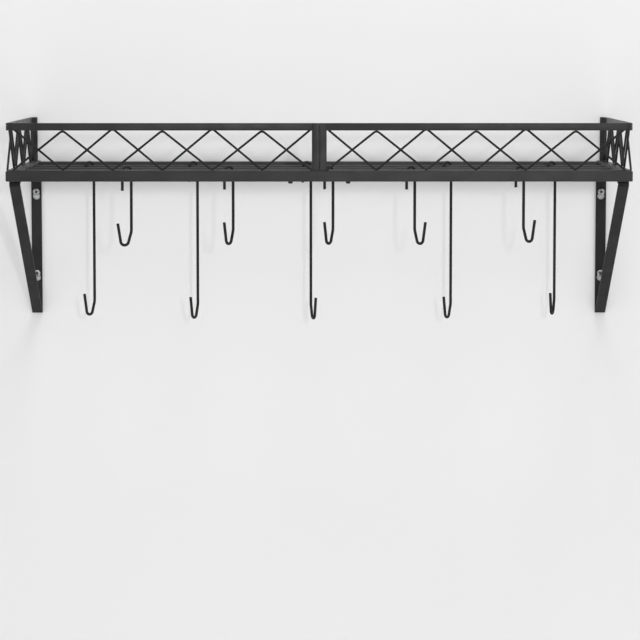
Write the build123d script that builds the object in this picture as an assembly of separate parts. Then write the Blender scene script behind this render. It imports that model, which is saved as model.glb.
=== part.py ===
from build123d import *
import math
import os

# A wall mounted rack: a shelf of square tube with a low lattice gallery, two brackets, and ten
# S-hooks that hang from the rods of the shelf's deck.
# X runs to the right along the wall, Y runs into the wall and Z is up. The origin is on the wall,
# in the middle of the four wall screws. Every piece that comes in a left and a right is drawn as
# the right one and mirrored.

# Driving dimensions, in millimetres
rack_width = 846
rack_depth = 330
tube_size = 14.2
tube_wall = 1.2
tube_corner = 1.5
strip_thickness = 1.2
strip_inset = 1.2
gallery_gap = 53.5
rail_height = 10
rail_thickness = 3
rail_bend = 10
post_width = 10
seam_gap = 0.3
crossings = 6
wire_diameter = 3
weld_lap = 2.5
rod_diameter = 5
rod_count = 3
rod_recess = 2

strap_width = 15
strap_thickness = 3
strap_bend = 3
bracket_drop = 209
arm_setback = 41.5
brace_shoulder = 5.5

wall_screw_spacing = 120
wall_screw_drop = 30.6
keyhole_entry = 10.4
keyhole_slot = 5.6
keyhole_travel = 6.2

hook_wire = 4
hook_clearance = 0.4
hook_bend_width = 15.2
hook_sag = 1
hook_tip_reach = 19
hook_tip_rise = 30
hook_elbow_rise = 19
hook_elbow_bend = 20
hook_bowl_bend = 5.5
short_tail_height = 77.1
long_tail_height = 197.5

# Where each hook hangs and how it came off the bending jig: which rod, counted from the front,
# the place along it, how far the tip stands to the right of the stem, and how far the bowl
# hangs below the rod's middle. A hook's tail ends at its kind's height above the bowl.
short_hooks = [
    (1, -265.8, -18.6, 103.8),
    (1, -124.9, -12.0, 101.8),
    (1, 13.4, -11.9, 101.4),
    (1, 126.6, 14.4, 101.7),
    (1, 277.4, 14.7, 98.8),
]
long_hooks = [
    (3, -329.8, -13.5, 214.4),
    (3, -180.7, -9.8, 218.9),
    (3, -17.4, 7.1, 219.9),
    (3, 184.5, -10.7, 218.5),
    (3, 334.3, -7.3, 213.1),
]

# Fasteners: head diameter, head height, shank diameter
bolt_size = (10.4, 3.2, 5)
small_screw_size = (6.4, 2.8, 3)
wall_screw_size = (10, 3.4, 5)
wall_screw_neck = 4.4
wall_screw_thread = 32
wall_screw_point = 6
wall_screw_tip = 0.6
head_rim_share = 0.45
tapping_clearance = 0.05
clearance_hole = 0.4
bolt_setbacks = (73, 250)
small_screw_place = 39

# Levels and edges that follow from them
half_width = rack_width / 2
base_bottom = wall_screw_spacing / 2 + wall_screw_drop
base_top = base_bottom + tube_size
strip_top = base_top + strip_thickness
rail_bottom = strip_top + gallery_gap
rail_top = rail_bottom + rail_height
bracket_bottom = base_bottom - bracket_drop
front = -rack_depth
inner_half_width = half_width - tube_size
inner_front = front + tube_size
bracket_x = half_width - strap_width / 2
tube_centre_x = half_width - tube_size / 2
rod_z = base_top - rod_recess - rod_diameter / 2
rod_pitch = (rack_depth - 2 * tube_size) / (rod_count + 1)
rod_ys = [inner_front + rod_pitch * (n + 1) for n in range(rod_count)]
front_tube_y = front + tube_size / 2
bolt_ys = [front + setback for setback in bolt_setbacks]


def slab(x, y, z):
    """A block between two values on each axis."""
    block = Box(x[1] - x[0], y[1] - y[0], z[1] - z[0], align=(Align.MIN, Align.MIN, Align.MIN))
    return Pos(x[0], y[0], z[0]) * block


def plan_prism(points, z):
    """The part of space over a plan outline, between two heights."""
    outline = make_face(Polyline(*points, close=True))
    return Pos(0, 0, z[0]) * extrude(outline, z[1] - z[0])


def front_mitre_plan(half, inset=0):
    """The front member's plan, cut at 45 degrees where it meets the side; half of it or all.

    Its outer edge is set back from the rack's front by the inset.
    """
    corner = (half_width - inset, front + inset)
    start = seam_gap / 2 if half else -corner[0]
    inner_start = start if half else -inner_half_width
    inner_corner = (inner_half_width, inner_front)
    return [(start, corner[1]), corner, inner_corner, (inner_start, inner_front)]


def side_mitre_plan(rear_mitre, inset=0):
    """The right side member's plan, mitred at the front, and at the wall too where it is asked."""
    corner = (half_width - inset, front + inset)
    rear_inner = -tube_size if rear_mitre else 0
    inner_corner = (inner_half_width, inner_front)
    return [corner, (corner[0], 0), (inner_half_width, rear_inner), inner_corner]


def square_tube(length):
    """A hollow square tube along X, centred on the origin."""
    bore = tube_size - 2 * tube_wall
    outside = RectangleRounded(tube_size, tube_size, tube_corner)
    section = outside - RectangleRounded(bore, bore, tube_corner - tube_wall)
    return extrude(Plane.YZ * section, length / 2, both=True)


def bolt_hole(place, diameter, z):
    """A round hole straight up at a place in plan."""
    drill = Cylinder(diameter / 2, z[1] - z[0], align=(Align.CENTER, Align.CENTER, Align.MIN))
    return Pos(place[0], place[1], z[0]) * drill


def base_front_tube():
    tube_z = base_bottom + tube_size / 2
    tube = Pos(0, front_tube_y, tube_z) * square_tube(rack_width)
    tube &= plan_prism(front_mitre_plan(half=False), (base_bottom, base_top))
    for side in (-1, 1):
        hole = small_screw_size[2] + clearance_hole
        tube -= bolt_hole((side * small_screw_place, front_tube_y), hole, (base_bottom, base_top))
    return tube


def base_rear_tube():
    tube = Pos(0, -tube_size / 2, base_bottom + tube_size / 2) * square_tube(rack_width)
    outer_edge = [(half_width, 0), (-half_width, 0)]
    inner_edge = [(-inner_half_width, -tube_size), (inner_half_width, -tube_size)]
    return tube & plan_prism(outer_edge + inner_edge, (base_bottom, base_top))


def base_end_tube():
    lengthwise = Rot(0, 0, 90) * square_tube(rack_depth)
    tube = Pos(tube_centre_x, front / 2, base_bottom + tube_size / 2) * lengthwise
    tube &= plan_prism(side_mitre_plan(rear_mitre=True), (base_bottom, base_top))
    for y in bolt_ys:
        tube -= bolt_hole((bracket_x, y), bolt_size[2] + clearance_hole, (base_bottom, base_top))
    return tube


def deck_rod(y):
    return Pos(0, y, rod_z) * Rot(0, 90, 0) * Cylinder(rod_diameter / 2, 2 * inner_half_width)


def gallery_top_rail():
    """A flat bar on edge from the centre post, round the front corner, to the rear post."""
    face = rail_thickness / 2
    path = FilletPolyline(
        (post_width, front + face, 0),
        (half_width - face, front + face, 0),
        (half_width - face, -rail_thickness, 0),
        radius=rail_bend - face,
    )
    section = Plane(path @ 0, z_dir=path % 0) * Rectangle(rail_thickness, rail_height)
    rail = sweep(section, path=path)
    return Pos(0, 0, rail_bottom + rail_height / 2) * rail


def gallery_centre_post():
    return slab((seam_gap / 2, post_width), (front, front + rail_thickness), (strip_top, rail_top))


def gallery_rear_post():
    return slab((half_width - post_width, half_width), (-rail_thickness, 0), (strip_top, rail_top))


def gallery_bottom_strip_front():
    strip = plan_prism(front_mitre_plan(half=True, inset=strip_inset), (base_top, strip_top))
    tapped = small_screw_size[2] + tapping_clearance
    return strip - bolt_hole((small_screw_place, front_tube_y), tapped, (base_top, strip_top))


def gallery_bottom_strip_side():
    strip = plan_prism(side_mitre_plan(rear_mitre=False, inset=strip_inset), (base_top, strip_top))
    for y in bolt_ys:
        strip -= bolt_hole((bracket_x, y), bolt_size[2] + tapping_clearance, (base_top, strip_top))
    return strip


def zigzag(length, first_low, lap, past_post):
    """A round wire bent to and fro between the strip and the rail, drawn along X with Z up.

    Its legs' middle lines meet at the strip's top and at the rail's bottom, or a weld lap above
    that, and each bend is as round as it takes for the wire just to touch the strip there. The
    cut ends are trimmed to the panel, which can reach past the post at the first end.
    """
    pitch = length / crossings
    height = gallery_gap + lap
    slope = math.atan2(height, pitch)
    bend = wire_diameter / 2 / (1 / math.cos(slope) - 1)
    corners = [(n * pitch, height * ((n + 1 - first_low) % 2)) for n in range(crossings + 1)]
    run_on = 2 * wire_diameter + past_post
    away = run_on * math.cos(slope)
    beyond = run_on * math.sin(slope) * (-1 if first_low else 1)
    corners[0] = (-away, corners[0][1] + beyond)
    corners[-1] = (length + away, corners[-1][1] + beyond)
    path = FilletPolyline(*[(x, 0, z) for x, z in corners], radius=bend)
    wire = sweep(Plane(path @ 0, z_dir=path % 0) * Circle(wire_diameter / 2), path=path)
    panel = slab((-past_post, length), (-wire_diameter, wire_diameter), (0, height + lap))
    return Pos(0, 0, strip_top) * (wire & panel)


def front_zigzag(layer, first_low, lap):
    """The front panel's wire, from the centre post, or from behind it, to the corner's bend."""
    length = half_width - rail_bend - post_width
    y = front + (layer + 0.5) * wire_diameter
    return Pos(post_width, y, 0) * zigzag(length, first_low, lap, past_post=lap)


def side_zigzag(layer, first_low, lap):
    """The side panel's wire, from the rear post's face to the corner's bend."""
    length = rack_depth - rail_bend - rail_thickness
    x = half_width - (layer + 0.5) * wire_diameter
    return Pos(x, -rail_thickness, 0) * Rot(0, 0, -90) * zigzag(length, first_low, lap, past_post=0)


def bracket_wall_bar():
    bar = slab(
        (half_width - strap_width, half_width), (-strap_thickness, 0), (bracket_bottom, base_bottom)
    )
    for screw_z in (-wall_screw_spacing / 2, wall_screw_spacing / 2):
        entry_z = screw_z - keyhole_travel
        entry = Circle(keyhole_entry / 2)
        slot = Pos(0, keyhole_travel / 2) * Rectangle(keyhole_slot, keyhole_travel)
        seat = Pos(0, keyhole_travel) * Circle(keyhole_slot / 2)
        keyhole = extrude(Plane.XZ * (entry + slot + seat), strap_thickness)
        bar -= Pos(bracket_x, 0, entry_z) * keyhole
    return bar


def bracket_strap():
    """The arm and the brace, bent from one flat bar and cut to seat on the wall bar."""
    wall_bar_face = -strap_thickness
    arm_z = base_bottom - strap_thickness / 2
    front_y = front + arm_setback + strap_thickness / 2
    shoulder = (front_y, arm_z - brace_shoulder)
    brace_slope = math.atan2(shoulder[1] - bracket_bottom, wall_bar_face - front_y)
    run_on = 2 * strap_thickness
    foot = (wall_bar_face + run_on * math.cos(brace_slope), bracket_bottom - run_on * math.sin(brace_slope))
    corners = [(wall_bar_face, arm_z), (front_y, arm_z), shoulder, foot]
    path = FilletPolyline(*[(0, y, z) for y, z in corners], radius=strap_bend)
    section = Plane(path @ 0, x_dir=(1, 0, 0), z_dir=path % 0) * Rectangle(strap_width, strap_thickness)
    strap = Pos(bracket_x, 0, 0) * sweep(section, path=path)
    strap &= slab((0, half_width), (front, wall_bar_face), (bracket_bottom, base_bottom))
    arm_levels = (base_bottom - strap_thickness, base_bottom)
    for y in bolt_ys:
        strap -= bolt_hole((bracket_x, y), bolt_size[2] + clearance_hole, arm_levels)
    return strap


def turned_screw(head_diameter, head_height, shank):
    """A screw along Z: a domed head above zero, and below it the corners (radius, depth) of its shank."""
    rim = (head_diameter / 2, 0, head_height * head_rim_share)
    top = (0, 0, head_height)
    corners = [(radius, 0, -depth) for radius, depth in shank]
    side = Polyline(rim, (head_diameter / 2, 0, 0), *corners, (0, 0, -shank[-1][1]), top)
    dome = TangentArc(top, rim, tangent=(1, 0, 0))
    return revolve(make_face(side + dome), Axis.Z)


def screw_up(size, place, seat_z, length):
    """A screw whose head hangs under a face and whose shank goes up from it."""
    head_diameter, head_height, shank_diameter = size
    shank = [(shank_diameter / 2, 0), (shank_diameter / 2, length)]
    return Pos(place[0], place[1], seat_z) * Rot(180, 0, 0) * turned_screw(head_diameter, head_height, shank)


def wall_screw(x, z):
    """A screw driven into the wall: its neck stands in the keyhole, and its thread starts at the wall."""
    head_diameter, head_height, thread_diameter = wall_screw_size
    neck = wall_screw_neck / 2
    thread = thread_diameter / 2
    full_depth = strap_thickness + wall_screw_thread
    shank = [
        (neck, 0),
        (neck, strap_thickness),
        (thread, strap_thickness),
        (thread, full_depth),
        (wall_screw_tip / 2, full_depth + wall_screw_point),
    ]
    screw = Rot(90, 0, 0) * turned_screw(head_diameter, head_height, shank)
    return Pos(x, -strap_thickness, z) * screw


def touching_place(outside, centre, radius, side):
    """Where a line from a point outside a circle touches it, on the side given."""
    away = math.atan2(outside[1] - centre[1], outside[0] - centre[0])
    reach = math.hypot(outside[0] - centre[0], outside[1] - centre[1])
    turn = away + side * math.acos(radius / reach)
    return (centre[0] + radius * math.cos(turn), centre[1] + radius * math.sin(turn))


def s_hook(drop, tail_length, tip_along):
    """A round wire hook about the rod's middle line, hanging as its own weight sets it.

    The upper bend goes askew over the rod with the tail in front. The lower bend is turned from
    it, so that the tip stands to one side and in front of the stem.
    """
    tail_across = rod_diameter + hook_wire + 2 * hook_clearance
    tail_along = math.sqrt(hook_bend_width**2 - tail_across**2)
    tip_across = math.sqrt(hook_tip_reach**2 - tip_along**2)
    stem = Vector(tail_along / 2, tail_across / 2, 0)
    tail = Vector(-tail_along / 2, -tail_across / 2, 0)
    tip_way = Vector(tip_along, -tip_across, 0) / hook_tip_reach
    up = Vector(0, 0, 1)
    bottom_z = hook_wire / 2 - drop

    def in_bowl(out, rise):
        return stem + tip_way * out + up * (bottom_z + rise)

    bowl = (hook_tip_reach / 2, hook_bowl_bend)
    elbow = (0, hook_elbow_rise)
    tip = (hook_tip_reach, hook_tip_rise)
    bowl_in = touching_place(elbow, bowl, hook_bowl_bend, 1)
    bowl_out = touching_place(tip, bowl, hook_bowl_bend, -1)
    crown = up * (hook_bend_width / 2 - hook_sag)
    bend_up = up * -hook_sag
    path = Wire(
        [
            Line(tail - up * tail_length, tail + bend_up).edge(),
            ThreePointArc(tail + bend_up, crown, stem + bend_up).edge(),
            *FilletPolyline(
                stem + bend_up, in_bowl(*elbow), in_bowl(*bowl_in), radius=[hook_elbow_bend]
            ).edges(),
            ThreePointArc(in_bowl(*bowl_in), in_bowl(bowl[0], 0), in_bowl(*bowl_out)).edge(),
            Line(in_bowl(*bowl_out), in_bowl(*tip)).edge(),
        ]
    )
    hook = sweep(Plane(path @ 0, z_dir=path % 0) * Circle(hook_wire / 2), path=path)
    weight = hook.center(CenterOf.MASS)
    return Rot(math.degrees(math.atan(weight.Y / weight.Z)), 0, 0) * hook


def write(name, shape):
    export_step(shape, f"parts/{name}.step")


def write_pair(name, right):
    write(f"{name}_right", right)
    write(f"{name}_left", mirror(right, about=Plane.YZ))


os.makedirs("parts", exist_ok=True)

write("base_front_tube", base_front_tube())
write("base_rear_tube", base_rear_tube())
write_pair("base_end_tube", base_end_tube())
for name, y in zip(("front", "middle", "rear"), rod_ys):
    write(f"deck_rod_{name}", deck_rod(y))

write_pair("gallery_top_rail", gallery_top_rail())
write_pair("gallery_centre_post", gallery_centre_post())
write_pair("gallery_rear_post", gallery_rear_post())
write_pair("gallery_bottom_strip_front", gallery_bottom_strip_front())
write_pair("gallery_bottom_strip_side", gallery_bottom_strip_side())
write_pair("front_zigzag_outer", front_zigzag(layer=0, first_low=True, lap=0))
write_pair("front_zigzag_inner", front_zigzag(layer=1, first_low=False, lap=weld_lap))
write_pair("side_zigzag_outer", side_zigzag(layer=0, first_low=True, lap=0))
write_pair("side_zigzag_inner", side_zigzag(layer=1, first_low=False, lap=weld_lap))

write_pair("bracket_wall_bar", bracket_wall_bar())
write_pair("bracket_strap", bracket_strap())

sides = (-1, 1)
bolt_length = strap_thickness + tube_size + strip_thickness
small_screw_length = tube_size + strip_thickness
bolts = [
    screw_up(bolt_size, (side * bracket_x, y), base_bottom - strap_thickness, bolt_length)
    for side in sides
    for y in bolt_ys
]
small_screws = [
    screw_up(small_screw_size, (side * small_screw_place, front_tube_y), base_bottom, small_screw_length)
    for side in sides
]
wall_screws = [
    wall_screw(side * bracket_x, end * wall_screw_spacing / 2) for side in sides for end in sides
]
write("bracket_bolts", Compound(children=bolts))
write("gallery_screws", Compound(children=small_screws))
write("wall_screws", Compound(children=wall_screws))

hook_kinds = (("short", short_tail_height, short_hooks), ("long", long_tail_height, long_hooks))
for kind, tail_height, hooks in hook_kinds:
    for number, (rod, x, tip_along, drop) in enumerate(hooks, 1):
        hook = s_hook(drop, drop - tail_height, tip_along)
        write(f"hook_{kind}_{number}", Pos(x, rod_ys[rod - 1], rod_z) * hook)
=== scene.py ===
import math

import bpy
from mathutils import Euler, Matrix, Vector


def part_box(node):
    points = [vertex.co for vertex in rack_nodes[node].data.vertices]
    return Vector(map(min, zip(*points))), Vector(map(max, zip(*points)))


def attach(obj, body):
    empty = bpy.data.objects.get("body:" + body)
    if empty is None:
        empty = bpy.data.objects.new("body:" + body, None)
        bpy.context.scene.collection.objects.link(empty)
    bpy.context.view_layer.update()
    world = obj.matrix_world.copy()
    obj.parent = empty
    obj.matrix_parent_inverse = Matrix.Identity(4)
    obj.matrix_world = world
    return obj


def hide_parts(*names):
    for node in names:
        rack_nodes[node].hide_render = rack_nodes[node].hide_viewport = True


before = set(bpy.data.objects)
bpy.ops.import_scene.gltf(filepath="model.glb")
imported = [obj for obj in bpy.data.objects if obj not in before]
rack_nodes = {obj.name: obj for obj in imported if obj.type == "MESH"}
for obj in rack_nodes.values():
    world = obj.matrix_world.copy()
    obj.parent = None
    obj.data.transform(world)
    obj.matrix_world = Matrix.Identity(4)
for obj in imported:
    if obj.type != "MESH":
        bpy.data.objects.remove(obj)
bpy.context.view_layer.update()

# Sizes in metres
mm = 0.001
eased_edge = 0.4 * mm
strip_edge = 0.2 * mm
wire_end_edge = 0.5 * mm
seam_half_gap = 0.02 * mm
seam_edge = 0.9 * mm
rail_bend = 10 * mm
bar_thickness = 3 * mm
rod_diameter = 5 * mm
merge_distance = 0.001 * mm

# Edges sharper than the first angle are eased, and faces within the second count as one
sharp_angle = math.radians(40)
flat_angle = math.radians(1)
bend_steps = 10

# Wall screws
wall_screw_head = 10 * mm
wall_screw_head_height = 3.4 * mm
wall_screw_neck = 4.4 * mm
wall_screw_thread = 5 * mm
cross_recess_width = 6 * mm
cross_recess_depth = 2.2 * mm
cross_wing_share = 0.36
recess_taper = 0.42
wall_screw_dome = 0.55
crown_inset_share = 0.1
crown_rise_share = 0.04
thread_height = 0.7 * mm
thread_pitch = 2.2 * mm
thread_turns = 12
screw_point = 6 * mm
screw_tip = 0.6 * mm
screw_turns = (0.35, 1.25, 0.9, 0.1)

# A thread's triangle is 1.5 of its radii tall, and this many of them stand out of the shank
thread_radii_outside = 1.35
thread_steps = 24

# Bracket bolts and the gallery's small screws
bolt_head = 10.4 * mm
bolt_head_height = 3.2 * mm
bolt_shank = 5 * mm
bolt_threaded = 12 * mm
bolt_thread_height = 0.45 * mm
bolt_thread_pitch = 0.8 * mm
hex_socket_width = 3 * mm
hex_socket_depth = 2 * mm
hex_bottom_edge = 0.2 * mm
bolt_dome = 0.6
small_screw_head = 6.4 * mm
small_screw_head_height = 2.8 * mm
small_screw_shank = 3 * mm
small_recess_width = 3.4 * mm
small_recess_depth = 1.5 * mm
small_screw_dome = 0.5
small_screw_turn = 0.6

# Welds
rod_weld_leg = 1.2 * mm
rod_weld_hollows = ((1 / 3, 0.93), (2 / 3, 0.94))
weld_lump_height = 0.28 * mm
weld_lump_size = 1.6 * mm
bead_width = 3.2 * mm
bead_length = 13.4 * mm
bead_drops = 13
bead_squash = 0.62
bead_sink = 0.6 * mm
bead_voxel = 0.2 * mm
foot_rise = 1.9 * mm

# The camera stands a little left of the rack's middle and above it, and looks down at it
camera_place = (-7.9 * mm, -3940.6 * mm, 265.35 * mm)
camera_pitch = math.radians(5.729)
camera_yaw = math.radians(0.141)
camera_lens = 150.54
camera_sensor = 36

# The room: a pale wall just behind the rack, and a pale floor
wall_gap = 0.4 * mm
floor_level = -1.15
room_half_width = 7
room_depth = 9
wall_height = 6
cove_radius = 0.5
cove_steps = 12
wall_grey = 0.92

# The light: an even pale room, a small lamp near the camera and a wide one above, in watts
room_grey = 0.92
room_strength = 0.78
key_place = (0.45, -4.0, 0.45)
key_size = 0.12
key_power = 14
overhead_place = (0.3, -1.35, 2.9)
overhead_aim = (0, -0.2, 0)
overhead_size = 1.5
overhead_power = 30

# Scales of the finishes' noise: about this many lumps to a metre
cloud_scale = 28
sheen_scale = 60
wear_scale = 160
peel_scale = 620
speckle_scale = 1900
grain_scale = 4200
plate_scale = 420
plate_sheen_scale = 1300
scuff_scale = 2600
oxide_scale = 350
oxide_sheen_scale = 700
oxide_skin_scale = 3000
paint_scale = 3

# The middle of a noise's values, which is spread over the whole range between two tones
tone_low = 0.35
tone_high = 0.65

# Heights of the finishes' relief
peel_height = 0.03 * mm
fine_relief = 0.006 * mm

# How far a coat rounds its edges, from how far off metal casts the painted shade in the zinc's recess, and
# what counts as at the wall
coat_edge_radius = 0.5 * mm
recess_shade_reach = 4 * mm
wall_touch = 1 * mm


# Small helpers for modelling


def deselect_all():
    bpy.ops.object.select_all(action="DESELECT")


def name_piece(name):
    """Names the primitive that was just added, and moves its place into its mesh."""
    piece = bpy.context.object
    piece.name = name
    piece.data.name = name
    bpy.ops.object.transform_apply(location=True, rotation=True, scale=True)
    return piece


def use_only(piece):
    deselect_all()
    piece.select_set(True)
    bpy.context.view_layer.objects.active = piece


def edit_faces(piece, wanted):
    """Goes into edit mode with only the faces selected for which wanted(face) is true."""
    use_only(piece)
    bpy.context.tool_settings.mesh_select_mode = (False, False, True)
    mesh = piece.data
    for part in (mesh.vertices, mesh.edges):
        part.foreach_set("select", [False] * len(part))
    for face in mesh.polygons:
        face.select = bool(wanted(face))
    bpy.ops.object.mode_set(mode="EDIT")


def edit_edges(piece, wanted):
    """Goes into edit mode with only the edges selected for which wanted(start, end) is true."""
    use_only(piece)
    bpy.context.tool_settings.mesh_select_mode = (False, True, False)
    mesh = piece.data
    for part in (mesh.vertices, mesh.polygons):
        part.foreach_set("select", [False] * len(part))
    for edge in mesh.edges:
        start, end = (mesh.vertices[index].co for index in edge.vertices)
        edge.select = bool(wanted(start, end))
    bpy.ops.object.mode_set(mode="EDIT")


def leave_edit():
    bpy.ops.object.mode_set(mode="OBJECT")


def apply_modifier(piece, kind, **settings):
    use_only(piece)
    modifier = piece.modifiers.new(kind.lower(), kind)
    for setting, value in settings.items():
        setattr(modifier, setting, value)
    bpy.ops.object.modifier_apply(modifier=modifier.name)


def smooth(piece, degrees=35):
    use_only(piece)
    bpy.ops.object.shade_smooth_by_angle(angle=math.radians(degrees))


def make_normals_outward(piece):
    edit_faces(piece, lambda face: True)
    bpy.ops.mesh.remove_doubles(threshold=merge_distance)
    bpy.ops.mesh.normals_make_consistent(inside=False)
    leave_edit()


def copy_piece(piece, name, turn, place):
    """A copy with its own mesh, turned about the axes in order and set at a place."""
    twin = piece.copy()
    twin.data = piece.data.copy()
    twin.name = name
    twin.data.name = name
    bpy.context.scene.collection.objects.link(twin)
    twin.rotation_euler = turn
    twin.location = place
    use_only(twin)
    bpy.ops.object.transform_apply(location=True, rotation=True, scale=True)
    return twin


def give(piece, material):
    piece.data.materials.clear()
    piece.data.materials.append(material)


# Materials


def new_material(name):
    material = bpy.data.materials.new(name)
    material.use_nodes = True
    return material, material.node_tree, material.node_tree.nodes["Principled BSDF"]


def object_coordinates(tree):
    return tree.nodes.new("ShaderNodeTexCoord").outputs["Object"]


def noise(tree, coordinates, scale, detail=2.0, roughness=0.5):
    texture = tree.nodes.new("ShaderNodeTexNoise")
    texture.inputs["Scale"].default_value = scale
    texture.inputs["Detail"].default_value = detail
    texture.inputs["Roughness"].default_value = roughness
    tree.links.new(coordinates, texture.inputs["Vector"])
    return texture.outputs["Fac"]


def spread(tree, value, low, high, out_low, out_high):
    """Maps a value from one range to another, clamped."""
    node = tree.nodes.new("ShaderNodeMapRange")
    node.inputs["From Min"].default_value = low
    node.inputs["From Max"].default_value = high
    node.inputs["To Min"].default_value = out_low
    node.inputs["To Max"].default_value = out_high
    tree.links.new(value, node.inputs["Value"])
    return node.outputs["Result"]


def calculate(tree, operation, first, second):
    node = tree.nodes.new("ShaderNodeMath")
    node.operation = operation
    for socket, value in zip(node.inputs, (first, second)):
        if isinstance(value, (int, float)):
            socket.default_value = value
        else:
            tree.links.new(value, socket)
    return node.outputs["Value"]


def mix_colours(tree, share, first, second):
    node = tree.nodes.new("ShaderNodeMix")
    node.data_type = "RGBA"
    tree.links.new(share, node.inputs["Factor"])
    for socket, colour in ((node.inputs["A"], first), (node.inputs["B"], second)):
        if isinstance(colour, tuple):
            socket.default_value = (*colour, 1)
        else:
            tree.links.new(colour, socket)
    return node.outputs["Result"]


def bump(tree, height, distance, strength, normal=None):
    node = tree.nodes.new("ShaderNodeBump")
    node.inputs["Distance"].default_value = distance
    node.inputs["Strength"].default_value = strength
    tree.links.new(height, node.inputs["Height"])
    if normal:
        tree.links.new(normal, node.inputs["Normal"])
    return node.outputs["Normal"]


def rounded_normal(tree, radius):
    node = tree.nodes.new("ShaderNodeBevel")
    node.samples = 6
    node.inputs["Radius"].default_value = radius
    return node.outputs["Normal"]


def edge_share(tree, normal):
    """How much a spot is on an edge: where the eased normal leaves the face's own."""
    geometry = tree.nodes.new("ShaderNodeNewGeometry")
    dot = tree.nodes.new("ShaderNodeVectorMath")
    dot.operation = "DOT_PRODUCT"
    tree.links.new(normal, dot.inputs[0])
    tree.links.new(geometry.outputs["True Normal"], dot.inputs[1])
    return spread(tree, dot.outputs["Value"], 0.995, 0.86, 0, 1)


def powder_coat(name, colour, roughness, shine):
    """Satin black powder coat: a faint orange peel, fine grain, cloudy sheen and thinner edges."""
    material, tree, shader = new_material(name)
    place = object_coordinates(tree)
    eased = rounded_normal(tree, coat_edge_radius)

    cloud = noise(tree, place, cloud_scale, detail=4)
    light = tuple(1.35 * part for part in colour)
    dark = tuple(0.72 * part for part in colour)
    body = mix_colours(tree, spread(tree, cloud, tone_low, tone_high, 0, 1), dark, light)
    wear = noise(tree, place, wear_scale, detail=3)
    thin = calculate(tree, "MULTIPLY", edge_share(tree, eased), wear)
    worn = tuple(3.2 * part for part in colour)
    tree.links.new(mix_colours(tree, thin, body, worn), shader.inputs["Base Color"])

    sheen_cloud = noise(tree, place, sheen_scale, detail=3)
    speckle = noise(tree, place, speckle_scale, detail=1)
    mottle = calculate(tree, "ADD", sheen_cloud, calculate(tree, "MULTIPLY", speckle, 0.5))
    rough = spread(tree, mottle, 0.5, 1.0, roughness - 0.05, roughness + 0.07)
    tree.links.new(rough, shader.inputs["Roughness"])

    peel = bump(tree, noise(tree, place, peel_scale, detail=1), peel_height, 0.5, eased)
    grain = bump(tree, noise(tree, place, grain_scale, detail=2), fine_relief, 0.5, peel)
    tree.links.new(grain, shader.inputs["Normal"])
    shader.inputs["Specular IOR Level"].default_value = shine
    return material


def painted_recess_shade(tree, reach):
    """Painted shade: how sheltered a spot is, as in a recess or under a head, which is darkened there."""
    node = tree.nodes.new("ShaderNodeAmbientOcclusion")
    node.samples = 8
    node.inputs["Distance"].default_value = reach
    return spread(tree, node.outputs["AO"], 0.78, 0.3, 0, 1)


def zinc_plate(name):
    """Bright zinc plate, tumbled: pale, a little blue, with fine scuffs, and painted shade darkening the
    recess and under the head.
    """
    material, tree, shader = new_material(name)
    place = object_coordinates(tree)
    tone = noise(tree, place, plate_scale, detail=3)
    tone_share = spread(tree, tone, tone_low, tone_high, 0, 1)
    plate = mix_colours(tree, tone_share, (0.34, 0.35, 0.37), (0.58, 0.58, 0.57))
    # Painted shade: ambient occlusion darkens sheltered spots of the zinc nearly to black
    colour = mix_colours(tree, painted_recess_shade(tree, recess_shade_reach), plate, (0.02, 0.02, 0.02))
    tree.links.new(colour, shader.inputs["Base Color"])
    rough = spread(tree, noise(tree, place, plate_sheen_scale, detail=3), 0.3, 0.7, 0.16, 0.36)
    tree.links.new(rough, shader.inputs["Roughness"])
    scuffs = bump(tree, noise(tree, place, scuff_scale, detail=2), fine_relief, 0.5)
    tree.links.new(scuffs, shader.inputs["Normal"])
    shader.inputs["Metallic"].default_value = 1
    return material


def black_oxide(name):
    """Blackened steel of the bolts: dark, slightly metallic, oily in patches."""
    material, tree, shader = new_material(name)
    place = object_coordinates(tree)
    tone = noise(tree, place, oxide_scale, detail=3)
    tone_share = spread(tree, tone, tone_low, tone_high, 0, 1)
    colour = mix_colours(tree, tone_share, (0.012, 0.012, 0.013), (0.034, 0.032, 0.03))
    tree.links.new(colour, shader.inputs["Base Color"])
    rough = spread(tree, noise(tree, place, oxide_sheen_scale, detail=2), 0.3, 0.7, 0.28, 0.48)
    tree.links.new(rough, shader.inputs["Roughness"])
    skin = bump(tree, noise(tree, place, oxide_skin_scale, detail=2), fine_relief, 0.5)
    tree.links.new(skin, shader.inputs["Normal"])
    shader.inputs["Metallic"].default_value = 0.6
    return material


def pass_rays_from_behind(tree, surface):
    """Lets through what comes from behind, and what starts on a face that touches the wall."""
    geometry = tree.nodes.new("ShaderNodeNewGeometry")
    path = tree.nodes.new("ShaderNodeLightPath")
    close = calculate(tree, "LESS_THAN", path.outputs["Ray Length"], wall_touch)
    clear_share = calculate(tree, "MAXIMUM", geometry.outputs["Backfacing"], close)
    clear = tree.nodes.new("ShaderNodeBsdfTransparent")
    mix = tree.nodes.new("ShaderNodeMixShader")
    tree.links.new(clear_share, mix.inputs["Fac"])
    tree.links.new(surface, mix.inputs[1])
    tree.links.new(clear.outputs["BSDF"], mix.inputs[2])
    tree.links.new(mix.outputs["Shader"], tree.nodes["Material Output"].inputs["Surface"])


def pale_paint(name, colour):
    """Matt pale paint of the wall and the floor."""
    material, tree, shader = new_material(name)
    place = object_coordinates(tree)
    tone = spread(tree, noise(tree, place, paint_scale, detail=2), 0.3, 0.7, 0, 1)
    dark = tuple(0.985 * part for part in colour)
    tree.links.new(mix_colours(tree, tone, dark, colour), shader.inputs["Base Color"])
    shader.inputs["Roughness"].default_value = 0.9
    shader.inputs["Specular IOR Level"].default_value = 0.1
    pass_rays_from_behind(tree, shader.outputs["BSDF"])
    return material


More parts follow.
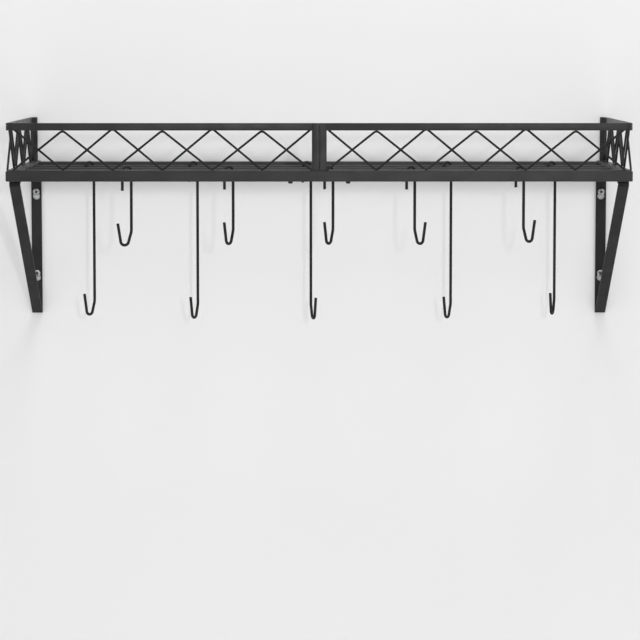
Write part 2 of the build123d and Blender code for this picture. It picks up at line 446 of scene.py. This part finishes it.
base_coat = powder_coat("base_satin_black", (0.0125, 0.0125, 0.0125), roughness=0.4, shine=0.42)
gallery_coat = powder_coat("gallery_satin_black", (0.0125, 0.0125, 0.0125), roughness=0.39, shine=0.4)
lattice_coat = powder_coat("lattice_satin_black", (0.0115, 0.0115, 0.0115), roughness=0.52, shine=0.26)
bracket_coat = powder_coat("bracket_satin_black", (0.014, 0.014, 0.014), roughness=0.52, shine=0.3)
# The straps' coat is a darker, less shiny copy of the bracket coat: painted shade for the braces, which face
# down
strap_coat_painted_shade = powder_coat("strap_satin_black_painted_shade", (0.0105, 0.0105, 0.0105), roughness=0.5, shine=0.2)
# The hook coat's faint warm tint is a painted reflection of warm brown surroundings
hook_coat = powder_coat("hook_satin_black_warm_reflection", (0.0125, 0.0117, 0.0112), roughness=0.5, shine=0.24)
screw_zinc = zinc_plate("screw_bright_zinc")
bolt_black = black_oxide("bolt_black_oxide")


# The rack's own pieces, carried over from the frame


def ease_edges(node, width):
    """Rounds a node's sharp edges as rolling, cutting and coating leave them."""
    weld = node.modifiers.new("merge", "WELD")
    weld.merge_threshold = merge_distance
    flat = node.modifiers.new("flat", "DECIMATE")
    flat.decimate_type = "DISSOLVE"
    flat.angle_limit = flat_angle
    ease = node.modifiers.new("ease", "BEVEL")
    ease.width = width
    ease.segments = 2
    ease.limit_method = "ANGLE"
    ease.angle_limit = sharp_angle
    ease.use_clamp_overlap = False
    ease.harden_normals = True


def dress_nodes():
    coats = {
        "base_": base_coat,
        "deck_": base_coat,
        "gallery_": gallery_coat,
        "front_zigzag": lattice_coat,
        "side_zigzag": lattice_coat,
        "bracket_wall": bracket_coat,
        "bracket_strap": strap_coat_painted_shade,
        "hook_": hook_coat,
    }
    edges = {
        "gallery_bottom": strip_edge,
        "bracket_strap": eased_edge,
        "bracket_wall": eased_edge,
        "hook_": wire_end_edge,
    }
    for name, node in rack_nodes.items():
        for start, coat in coats.items():
            if name.startswith(start):
                node.material_slots[0].material = coat
        for start, width in edges.items():
            if name.startswith(start):
                ease_edges(node, width)


# Fasteners


def cut(piece, cutter):
    use_only(piece)
    modifier = piece.modifiers.new("cut", "BOOLEAN")
    modifier.operation = "DIFFERENCE"
    modifier.solver = "EXACT"
    modifier.object = cutter
    bpy.ops.object.modifier_apply(modifier=modifier.name)
    bpy.data.objects.remove(cutter)


def domed_head(name, diameter, height, dome_share):
    """A screw's head that stands on Z = 0, its upper rim rolled over and its top a little crowned."""
    bpy.ops.mesh.primitive_cylinder_add(
        vertices=64, radius=diameter / 2, depth=height, location=(0, 0, height / 2)
    )
    head = name_piece(name)
    edit_edges(head, lambda start, end: min(start.z, end.z) > 0.9 * height)
    bpy.ops.mesh.bevel(offset=height * dome_share, segments=8, profile=0.5, affect="EDGES")
    leave_edit()
    edit_faces(head, lambda face: face.normal.z > 0.99 and face.center.z > 0.9 * height)
    bpy.ops.mesh.inset(thickness=diameter * crown_inset_share, depth=height * crown_rise_share)
    leave_edit()
    return head


def recess_wing(height, width, depth, turn):
    """One wing of a cross recess, tapered towards its bottom, to be cut out of a head."""
    size = (width, width * cross_wing_share, 2 * depth)
    bpy.ops.mesh.primitive_cube_add(size=1, location=(0, 0, height), rotation=(0, 0, turn), scale=size)
    wing = name_piece("recess_wing")
    edit_faces(wing, lambda face: face.normal.z < -0.9)
    bpy.ops.transform.resize(value=(recess_taper, recess_taper, 1), center_override=(0, 0, height))
    leave_edit()
    return wing


def cross_recess(head, height, width, depth):
    for turn in (0, math.pi / 2):
        cut(head, recess_wing(height, width, depth, turn))


def hex_socket(head, height, width, depth):
    bpy.ops.mesh.primitive_cylinder_add(
        vertices=6, radius=width / math.sqrt(3), depth=2 * depth, location=(0, 0, height)
    )
    socket = name_piece("hex_socket")
    edit_faces(socket, lambda face: face.normal.z < -0.9)
    bpy.ops.mesh.bevel(offset=hex_bottom_edge, segments=2, affect="EDGES")
    leave_edit()
    cut(head, socket)


def draw_shank(screw, head_diameter, steps):
    """Draws a shank out of a head's underside, in steps of (width, width at its end, length)."""
    edit_faces(screw, lambda face: face.normal.z < -0.9 and abs(face.center.z) < 0.01 * mm)
    width = head_diameter
    for wide, narrow, length in steps:
        if wide < width:
            bpy.ops.mesh.inset(thickness=(width - wide) / 2)
        bpy.ops.mesh.extrude_region_move(TRANSFORM_OT_translate={"value": (0, 0, -length)})
        bpy.ops.transform.resize(value=(narrow / wide, narrow / wide, 1), center_override=(0, 0, 0))
        width = narrow
    leave_edit()


def wind_thread(screw, crest, height, start, pitch, turns):
    """Winds a ridge down round a shank, from a triangle whose point is on the thread's crest."""
    radius = height / thread_radii_outside
    bpy.ops.mesh.primitive_circle_add(
        vertices=3,
        radius=radius,
        location=(crest / 2 - radius, 0, start),
        rotation=(math.pi / 2, math.pi / 2, 0),
    )
    ridge = name_piece("thread_ridge")
    apply_modifier(
        ridge,
        "SCREW",
        axis="Z",
        angle=math.tau,
        screw_offset=-pitch,
        iterations=turns,
        steps=thread_steps,
        render_steps=thread_steps,
    )
    edit_faces(ridge, lambda face: True)
    bpy.ops.mesh.select_all(action="SELECT")
    bpy.ops.mesh.fill_holes(sides=3)
    leave_edit()
    make_normals_outward(ridge)
    join([screw, ridge])


def join(pieces):
    deselect_all()
    for piece in pieces:
        piece.select_set(True)
    bpy.context.view_layer.objects.active = pieces[0]
    bpy.ops.object.join()


def set_on_rack(piece, material, slot, *nodes):
    give(piece, material)
    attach(piece, "rack")
    if nodes:
        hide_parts(*nodes)


def finish_screw(screw):
    make_normals_outward(screw)
    smooth(screw, 40)


def make_wall_screws():
    """Four pan head wood screws with a cross recess, driven into the wall through the keyholes."""
    low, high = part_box("wall_screws")
    screw = domed_head("wall_screw", wall_screw_head, wall_screw_head_height, wall_screw_dome)
    cross_recess(screw, wall_screw_head_height, cross_recess_width, cross_recess_depth)
    core = wall_screw_thread - 2 * thread_height
    straight = high.y - screw_point
    steps = [
        (wall_screw_neck, wall_screw_neck, bar_thickness),
        (core, core, straight),
        (core, screw_tip, screw_point),
    ]
    draw_shank(screw, wall_screw_head, steps)
    start = -bar_thickness - thread_pitch
    wind_thread(screw, wall_screw_thread, thread_height, start, thread_pitch, thread_turns)
    finish_screw(screw)
    across = high.x - wall_screw_head / 2
    up = (high.z - low.z - wall_screw_head) / 2
    middle = (high.z + low.z) / 2
    turns = iter(screw_turns)
    for side, side_name in ((-1, "left"), (1, "right")):
        for end, end_name in ((-1, "lower"), (1, "upper")):
            place = (side * across, -bar_thickness, middle + end * up)
            name = f"wall_screw_{side_name}_{end_name}"
            twin = copy_piece(screw, name, (math.pi / 2, next(turns), 0), place)
            set_on_rack(twin, screw_zinc, "screw_zinc", "wall_screws")
    bpy.data.objects.remove(screw)


def make_bracket_bolts():
    """Four button head bolts with a hex socket, up through each arm and end tube into the strip."""
    low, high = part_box("bracket_bolts")
    bolt = domed_head("bracket_bolt", bolt_head, bolt_head_height, bolt_dome)
    hex_socket(bolt, bolt_head_height, hex_socket_width, hex_socket_depth)
    length = high.z - low.z - bolt_head_height
    plain = length - bolt_threaded
    core = bolt_shank - 2 * bolt_thread_height
    draw_shank(bolt, bolt_head, [(bolt_shank, bolt_shank, plain), (core, core, bolt_threaded)])
    start = -plain - bolt_thread_pitch / 2
    ridge_turns = int((bolt_threaded - bolt_thread_pitch) / bolt_thread_pitch)
    wind_thread(bolt, bolt_shank, bolt_thread_height, start, bolt_thread_pitch, ridge_turns)
    finish_screw(bolt)
    across = high.x - bolt_head / 2
    rows = (("front", low.y + bolt_head / 2), ("rear", high.y - bolt_head / 2))
    turns = iter(screw_turns)
    for side, side_name in ((-1, "left"), (1, "right")):
        for row_name, y in rows:
            place = (side * across, y, low.z + bolt_head_height)
            twin = copy_piece(bolt, f"bracket_bolt_{side_name}_{row_name}", (math.pi, 0, next(turns)), place)
            set_on_rack(twin, bolt_black, "bolt_black", "bracket_bolts")
    bpy.data.objects.remove(bolt)


def make_gallery_screws():
    """Two small pan head screws, up through the front tube into the two front strips."""
    low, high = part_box("gallery_screws")
    screw = domed_head("gallery_screw", small_screw_head, small_screw_head_height, small_screw_dome)
    cross_recess(screw, small_screw_head_height, small_recess_width, small_recess_depth)
    length = high.z - low.z - small_screw_head_height
    draw_shank(screw, small_screw_head, [(small_screw_shank, small_screw_shank, length)])
    finish_screw(screw)
    across = high.x - small_screw_head / 2
    y = (low.y + high.y) / 2
    for side, side_name in ((-1, "left"), (1, "right")):
        place = (side * across, y, low.z + small_screw_head_height)
        turn = (math.pi, 0, side * small_screw_turn)
        twin = copy_piece(screw, f"gallery_screw_{side_name}", turn, place)
        set_on_rack(twin, bolt_black, "bolt_black", "gallery_screws")
    bpy.data.objects.remove(screw)


# Posts and welds


def make_centre_posts():
    """The two flat bars that meet at the middle: rolled edges, with their faces together."""
    for side, side_name in ((-1, "left"), (1, "right")):
        node = f"gallery_centre_post_{side_name}"
        low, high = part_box(node)
        outer = max(abs(low.x), abs(high.x))
        middle = (side * (outer + seam_half_gap) / 2, (low.y + high.y) / 2, (low.z + high.z) / 2)
        size = (outer - seam_half_gap, high.y - low.y, high.z - low.z)
        bpy.ops.mesh.primitive_cube_add(size=1, location=middle, scale=size)
        post = name_piece(f"centre_post_{side_name}")
        edit_edges(post, lambda start, end: max(abs(start.x), abs(end.x)) < 2 * seam_half_gap)
        bpy.ops.mesh.bevel(offset=seam_edge, segments=5, profile=0.5, affect="EDGES")
        leave_edit()
        edit_edges(post, lambda start, end: min(abs(start.x), abs(end.x)) > 0.9 * outer)
        bpy.ops.mesh.bevel(offset=eased_edge, segments=3, profile=0.5, affect="EDGES")
        leave_edit()
        smooth(post, 50)
        set_on_rack(post, gallery_coat, "gallery_black", node)


def make_top_rails():
    """Each half of the top rail: a flat bar on edge, bent round the front corner and at the wall."""
    for side, side_name in ((-1, "left"), (1, "right")):
        node = f"gallery_top_rail_{side_name}"
        low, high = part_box(node)
        start = side * min(abs(low.x), abs(high.x))
        bend_x = side * (max(abs(low.x), abs(high.x)) - rail_bend)
        level = (low.z + high.z) / 2
        bpy.ops.mesh.primitive_plane_add(
            size=1, location=(start, low.y + bar_thickness / 2, level), rotation=(0, math.pi / 2, 0)
        )
        bpy.context.object.scale = (high.z - low.z, bar_thickness, 1)
        rail = name_piece(f"top_rail_{side_name}")
        edit_faces(rail, lambda face: True)
        bpy.ops.mesh.extrude_region_move(TRANSFORM_OT_translate={"value": (bend_x - start, 0, 0)})
        turn_rail(side, (bend_x, low.y + rail_bend, level))
        bpy.ops.mesh.extrude_region_move(TRANSFORM_OT_translate={"value": (0, -low.y - 2 * rail_bend, 0)})
        turn_rail(side, (bend_x, -rail_bend, level))
        leave_edit()
        clear_inner_faces(rail)
        make_normals_outward(rail)
        apply_modifier(
            rail,
            "BEVEL",
            width=eased_edge,
            segments=3,
            limit_method="ANGLE",
            angle_limit=sharp_angle,
        )
        smooth(rail, 50)
        set_on_rack(rail, gallery_coat, "gallery_black", node)


def turn_rail(side, centre):
    """Carries the rail's selected end a quarter turn round a bend's centre."""
    bpy.ops.mesh.spin(
        steps=bend_steps, angle=-side * math.pi / 2, use_normal_flip=False, center=centre, axis=(0, 0, 1)
    )


def clear_inner_faces(piece):
    """Merges the joints between the stretches and takes out the faces left inside them."""
    edit_faces(piece, lambda face: True)
    bpy.ops.mesh.remove_doubles(threshold=merge_distance)
    bpy.ops.mesh.select_all(action="DESELECT")
    bpy.ops.mesh.select_interior_faces()
    bpy.ops.mesh.delete(type="FACE")
    leave_edit()


def make_rear_posts():
    """The upright bars at the wall, under the rail's bent ends."""
    for side_name in ("left", "right"):
        node = f"gallery_rear_post_{side_name}"
        low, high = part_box(node)
        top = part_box(f"gallery_top_rail_{side_name}")[0].z
        middle = ((low.x + high.x) / 2, (low.y + high.y) / 2, (low.z + top) / 2)
        size = (high.x - low.x, high.y - low.y, top - low.z)
        bpy.ops.mesh.primitive_cube_add(size=1, location=middle, scale=size)
        post = name_piece(f"rear_post_{side_name}")
        edit_edges(post, lambda start, end: abs(start.z - end.z) > bar_thickness)
        bpy.ops.mesh.bevel(offset=eased_edge, segments=3, profile=0.5, affect="EDGES")
        leave_edit()
        smooth(post, 50)
        set_on_rack(post, gallery_coat, "gallery_black", node)


def make_rod_welds():
    """The fillet weld round each rod's end, a little uneven, under the coating."""
    bpy.ops.mesh.primitive_cone_add(
        vertices=40,
        radius1=rod_diameter / 2 + rod_weld_leg,
        radius2=rod_diameter / 2,
        depth=rod_weld_leg,
        location=(0, 0, rod_weld_leg / 2),
    )
    fillet = name_piece("rod_weld")
    edit_edges(fillet, lambda start, end: abs(start.z - end.z) > 0.5 * rod_weld_leg)
    bpy.ops.mesh.subdivide(number_cuts=2)
    leave_edit()
    for share, hollow in rod_weld_hollows:
        level = share * rod_weld_leg
        edit_edges(fillet, lambda start, end: max(abs(start.z - level), abs(end.z - level)) < 0.05 * mm)
        bpy.ops.transform.resize(value=(hollow, hollow, 1), center_override=(0, 0, 0))
        leave_edit()
    roughen(fillet, weld_lump_height, weld_lump_size)
    make_normals_outward(fillet)
    smooth(fillet, 60)
    for row in ("front", "middle", "rear"):
        low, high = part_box(f"deck_rod_{row}")
        for side, side_name, reach in ((-1, "left", low.x), (1, "right", high.x)):
            place = (reach, (low.y + high.y) / 2, (low.z + high.z) / 2)
            name = f"rod_weld_{row}_{side_name}"
            twin = copy_piece(fillet, name, (0, -side * math.pi / 2, 0), place)
            set_on_rack(twin, base_coat, "base_black")
    bpy.data.objects.remove(fillet)


def roughen(piece, height, grain):
    """Pushes a surface in and out a little, in lumps of one size."""
    lumps = bpy.data.textures.new("lumps", "CLOUDS")
    lumps.noise_scale = grain
    apply_modifier(piece, "DISPLACE", texture=lumps, strength=height, mid_level=0.5, texture_coords="LOCAL")


def make_bracket_beads():
    """The beads under each arm's rear end and over each brace's foot, laid in overlapping drops."""
    drop = bead_length / bead_drops
    first = (-bead_length / 2 + drop / 2, 0, 0)
    bpy.ops.mesh.primitive_uv_sphere_add(segments=20, ring_count=10, radius=bead_width / 2, location=first)
    bead = name_piece("bracket_bead")
    edit_faces(bead, lambda face: True)
    bpy.ops.transform.resize(value=(bead_squash, 1, 1), center_override=first)
    leave_edit()
    apply_modifier(
        bead,
        "ARRAY",
        count=bead_drops,
        use_relative_offset=False,
        use_constant_offset=True,
        constant_offset_displace=(drop, 0, 0),
    )
    apply_modifier(bead, "REMESH", mode="VOXEL", voxel_size=bead_voxel)
    smooth(bead, 80)
    for side_name in ("left", "right"):
        low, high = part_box(f"bracket_wall_bar_{side_name}")
        x = (low.x + high.x) / 2
        corners = (
            ("arm", low.y - bead_sink, high.z - bar_thickness - bead_sink),
            ("foot", low.y - bead_sink, low.z + foot_rise + bead_sink),
        )
        for end_name, y, z in corners:
            twin = copy_piece(bead, f"bracket_bead_{end_name}_{side_name}", (0, 0, 0), (x, y, z))
            set_on_rack(twin, bracket_coat, "bracket_black")
    bpy.data.objects.remove(bead)


dress_nodes()
make_wall_screws()
make_bracket_bolts()
make_gallery_screws()
make_centre_posts()
make_top_rails()
make_rear_posts()
make_rod_welds()
make_bracket_beads()


# The room, the light and the camera


def make_backdrop():
    """One sheet: the floor, a rounded corner, and the wall that the rack hangs on."""
    paint = pale_paint("wall_and_floor_paint", (wall_grey, wall_grey, wall_grey))
    bpy.ops.mesh.primitive_plane_add(size=1, location=(0, wall_gap - room_depth / 2, floor_level))
    sheet = bpy.context.object
    sheet.scale = (2 * room_half_width, room_depth, 1)
    sheet = name_piece("backdrop")
    edit_edges(sheet, lambda start, end: min(start.y, end.y) > 0)
    bpy.ops.mesh.extrude_region_move(TRANSFORM_OT_translate={"value": (0, 0, wall_height)})
    leave_edit()
    corner_top = floor_level + 10 * mm
    edit_edges(sheet, lambda start, end: min(start.y, end.y) > 0 and max(start.z, end.z) < corner_top)
    bpy.ops.mesh.bevel(offset=cove_radius, segments=cove_steps, affect="EDGES")
    leave_edit()
    edit_faces(sheet, lambda face: True)
    bpy.ops.mesh.normals_make_consistent(inside=True)
    leave_edit()
    toward_room = sum(face.normal.z for face in sheet.data.polygons)
    if toward_room < 0:
        edit_faces(sheet, lambda face: True)
        bpy.ops.mesh.flip_normals()
        leave_edit()
    smooth(sheet)
    give(sheet, paint)


def make_world():
    world = bpy.data.worlds.new("pale_room")
    bpy.context.scene.world = world
    world.use_nodes = True
    background = world.node_tree.nodes["Background"]
    background.inputs["Color"].default_value = (room_grey, room_grey, room_grey, 1)
    background.inputs["Strength"].default_value = room_strength


def softbox(name, place, aim, size, power):
    bpy.ops.object.light_add(type="AREA", location=place)
    lamp = bpy.context.object
    lamp.name = name
    lamp.data.shape = "DISK"
    lamp.data.size = size
    lamp.data.energy = power
    lamp.rotation_euler = (Vector(place) - Vector(aim)).to_track_quat("Z", "Y").to_euler()


def make_lights():
    softbox("key_front_right", key_place, (0, 0, 0), key_size, key_power)
    softbox("overhead", overhead_place, overhead_aim, overhead_size, overhead_power)


def make_camera():
    camera_data = bpy.data.cameras.new("camera")
    camera_data.lens = camera_lens
    camera_data.sensor_width = camera_sensor
    camera = bpy.data.objects.new("camera", camera_data)
    bpy.context.scene.collection.objects.link(camera)
    camera.location = camera_place
    camera.rotation_euler = Euler((math.pi / 2 - camera_pitch, 0, -camera_yaw))
    bpy.context.scene.camera = camera


make_backdrop()
make_world()
make_lights()
make_camera()
bpy.context.scene.view_settings.view_transform = "Standard"
